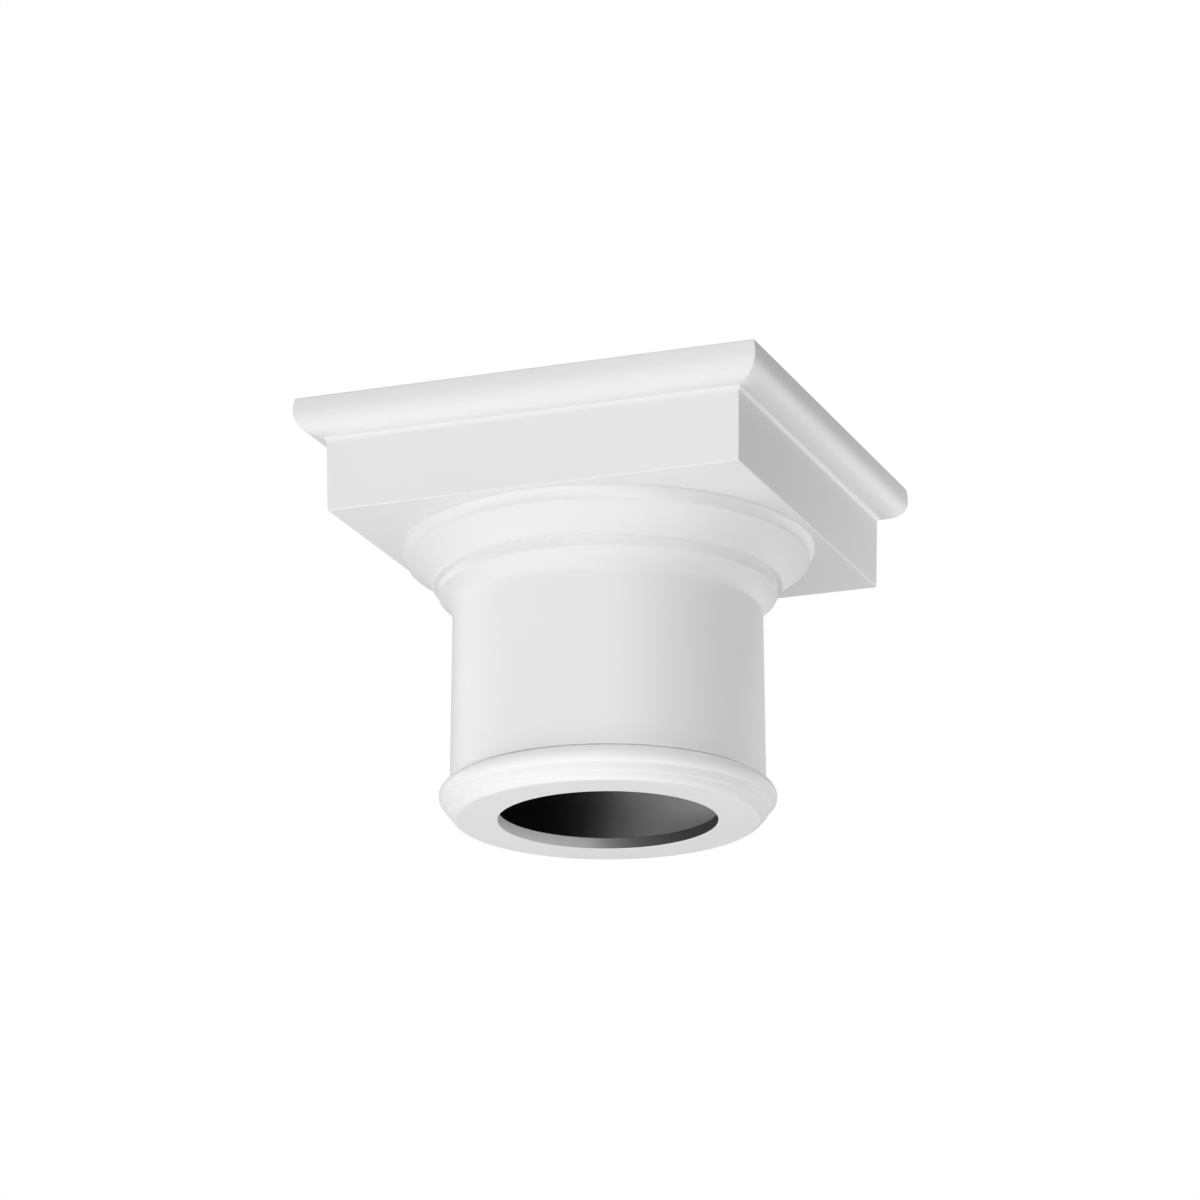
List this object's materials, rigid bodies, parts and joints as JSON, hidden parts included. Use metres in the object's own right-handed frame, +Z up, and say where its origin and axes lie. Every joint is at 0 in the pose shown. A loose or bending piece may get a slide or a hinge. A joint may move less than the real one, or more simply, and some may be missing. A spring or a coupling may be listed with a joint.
{
  "type": "column capital",
  "caption": "Moulded column capital: square abacus with a crown moulding, splayed round echinus, short neck and beaded foot, hollow from below.",
  "frame": {"origin": "middle of the underside, on the axis that the round mouldings are turned about", "axes": "+Z up through the abacus; the abacus faces look along X and Y, and -Y is the wide face in the picture"},
  "size_m": [0.341, 0.341, 0.2781],
  "materials": {
    "white_moulding": "smooth white primed moulding, satin, with no pattern"
  },
  "bodies": {
    "root": {"capital": "white_moulding"}
  },
  "joints": []
}
